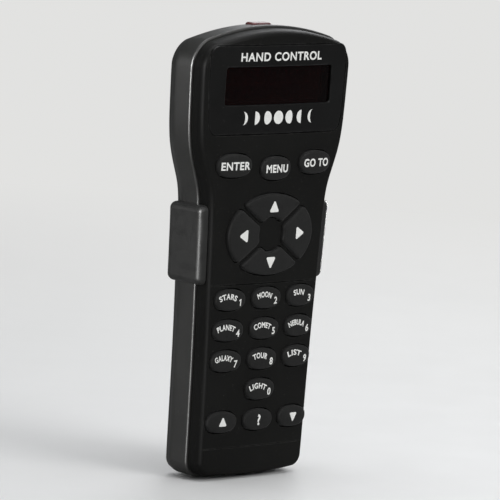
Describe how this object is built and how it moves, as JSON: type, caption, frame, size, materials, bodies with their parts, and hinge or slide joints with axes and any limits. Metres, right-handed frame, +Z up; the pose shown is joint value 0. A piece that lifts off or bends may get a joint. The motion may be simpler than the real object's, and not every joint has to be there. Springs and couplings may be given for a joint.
{
  "type": "telescope hand controller",
  "caption": "Black keypad handset for steering a telescope mount, with a two-line display, arrow ring, number keys and a cord socket in its foot.",
  "frame": {"origin": "bottom centre of the bounding box", "axes": "+Z up along the handset from foot to display, +X to the right as seen from the keys, keys facing -Y"},
  "size_m": [0.081, 0.0214, 0.1671],
  "materials": {
    "shell": "fine grain",
    "bezel": "satin",
    "lens": "polished",
    "key": "soft matt",
    "grip": "soft matt",
    "label": "satin",
    "tin": "tinned",
    "screw": "plated",
    "lcd": "polished",
    "diffuser": "frosted",
    "board": "solder mask",
    "connector": "moulded",
    "ribbon": "film",
    "chip": "epoxy",
    "contact": "gold plated",
    "lamp": "clear red",
    "mat": "silicone"
  },
  "bodies": {
    "case": {"front_shell": "shell", "rear_shell": "shell", "grip_left": "grip", "grip_right": "grip", "rear_label": "label", "display_bezel": "bezel", "display_lens": "lens", "lcd_frame": "tin", "lcd_glass": "lcd", "backlight_panel": "diffuser", "lcd_board": "board", "lcd_connector": "connector", "display_ribbon": "ribbon", "circuit_board": "board", "board_connector": "connector", "processor_chip": "chip", "memory_chip": "chip", "voltage_regulator": "chip", "crystal": "tin", "capacitor": "tin", "cord_socket": "connector", "lamp_led": "lamp", "lamp_lens": "lamp", "keypad_mat": "mat", "socket_contact_1": "contact", "socket_contact_2": "contact", "socket_contact_3": "contact", "socket_contact_4": "contact", "case_screw_foot_left": "screw", "case_screw_foot_right": "screw", "case_screw_head_left": "screw", "case_screw_head_right": "screw", "board_screw_lower_left": "screw", "board_screw_lower_right": "screw", "board_screw_upper_left": "screw", "board_screw_upper_right": "screw", "lcd_screw_lower_left": "screw", "lcd_screw_lower_right": "screw", "lcd_screw_upper_left": "screw", "lcd_screw_upper_right": "screw"},
    "key_enter_cap": {"key_enter": "key"},
    "key_menu_cap": {"key_menu": "key"},
    "key_goto_cap": {"key_goto": "key"},
    "key_0_cap": {"key_0": "key"},
    "key_1_cap": {"key_1": "key"},
    "key_2_cap": {"key_2": "key"},
    "key_3_cap": {"key_3": "key"},
    "key_4_cap": {"key_4": "key"},
    "key_5_cap": {"key_5": "key"},
    "key_6_cap": {"key_6": "key"},
    "key_7_cap": {"key_7": "key"},
    "key_8_cap": {"key_8": "key"},
    "key_9_cap": {"key_9": "key"},
    "key_scroll_up_cap": {"key_scroll_up": "key"},
    "key_help_cap": {"key_help": "key"},
    "key_scroll_down_cap": {"key_scroll_down": "key"},
    "key_arrow_up_cap": {"key_arrow_up": "key"},
    "key_arrow_down_cap": {"key_arrow_down": "key"},
    "key_arrow_left_cap": {"key_arrow_left": "key"},
    "key_arrow_right_cap": {"key_arrow_right": "key"}
  },
  "joints": [
    {"name": "key_enter_press", "type": "slide", "parent": "case", "child": "key_enter_cap", "axis": [0, 1, 0], "range_m": [0, 0.001], "stiffness_N_per_m": 600},
    {"name": "key_menu_press", "type": "slide", "parent": "case", "child": "key_menu_cap", "axis": [0, 1, 0], "range_m": [0, 0.001], "stiffness_N_per_m": 600},
    {"name": "key_goto_press", "type": "slide", "parent": "case", "child": "key_goto_cap", "axis": [0, 1, 0], "range_m": [0, 0.001], "stiffness_N_per_m": 600},
    {"name": "key_0_press", "type": "slide", "parent": "case", "child": "key_0_cap", "axis": [0, 1, 0], "range_m": [0, 0.001], "stiffness_N_per_m": 600},
    {"name": "key_1_press", "type": "slide", "parent": "case", "child": "key_1_cap", "axis": [0, 1, 0], "range_m": [0, 0.001], "stiffness_N_per_m": 600},
    {"name": "key_2_press", "type": "slide", "parent": "case", "child": "key_2_cap", "axis": [0, 1, 0], "range_m": [0, 0.001], "stiffness_N_per_m": 600},
    {"name": "key_3_press", "type": "slide", "parent": "case", "child": "key_3_cap", "axis": [0, 1, 0], "range_m": [0, 0.001], "stiffness_N_per_m": 600},
    {"name": "key_4_press", "type": "slide", "parent": "case", "child": "key_4_cap", "axis": [0, 1, 0], "range_m": [0, 0.001], "stiffness_N_per_m": 600},
    {"name": "key_5_press", "type": "slide", "parent": "case", "child": "key_5_cap", "axis": [0, 1, 0], "range_m": [0, 0.001], "stiffness_N_per_m": 600},
    {"name": "key_6_press", "type": "slide", "parent": "case", "child": "key_6_cap", "axis": [0, 1, 0], "range_m": [0, 0.001], "stiffness_N_per_m": 600},
    {"name": "key_7_press", "type": "slide", "parent": "case", "child": "key_7_cap", "axis": [0, 1, 0], "range_m": [0, 0.001], "stiffness_N_per_m": 600},
    {"name": "key_8_press", "type": "slide", "parent": "case", "child": "key_8_cap", "axis": [0, 1, 0], "range_m": [0, 0.001], "stiffness_N_per_m": 600},
    {"name": "key_9_press", "type": "slide", "parent": "case", "child": "key_9_cap", "axis": [0, 1, 0], "range_m": [0, 0.001], "stiffness_N_per_m": 600},
    {"name": "key_scroll_up_press", "type": "slide", "parent": "case", "child": "key_scroll_up_cap", "axis": [0, 1, 0], "range_m": [0, 0.001], "stiffness_N_per_m": 600},
    {"name": "key_help_press", "type": "slide", "parent": "case", "child": "key_help_cap", "axis": [0, 1, 0], "range_m": [0, 0.001], "stiffness_N_per_m": 600},
    {"name": "key_scroll_down_press", "type": "slide", "parent": "case", "child": "key_scroll_down_cap", "axis": [0, 1, 0], "range_m": [0, 0.001], "stiffness_N_per_m": 600},
    {"name": "key_arrow_up_press", "type": "slide", "parent": "case", "child": "key_arrow_up_cap", "axis": [0, 1, 0], "range_m": [0, 0.001], "stiffness_N_per_m": 600},
    {"name": "key_arrow_down_press", "type": "slide", "parent": "case", "child": "key_arrow_down_cap", "axis": [0, 1, 0], "range_m": [0, 0.001], "stiffness_N_per_m": 600},
    {"name": "key_arrow_left_press", "type": "slide", "parent": "case", "child": "key_arrow_left_cap", "axis": [0, 1, 0], "range_m": [0, 0.001], "stiffness_N_per_m": 600},
    {"name": "key_arrow_right_press", "type": "slide", "parent": "case", "child": "key_arrow_right_cap", "axis": [0, 1, 0], "range_m": [0, 0.001], "stiffness_N_per_m": 600}
  ]
}
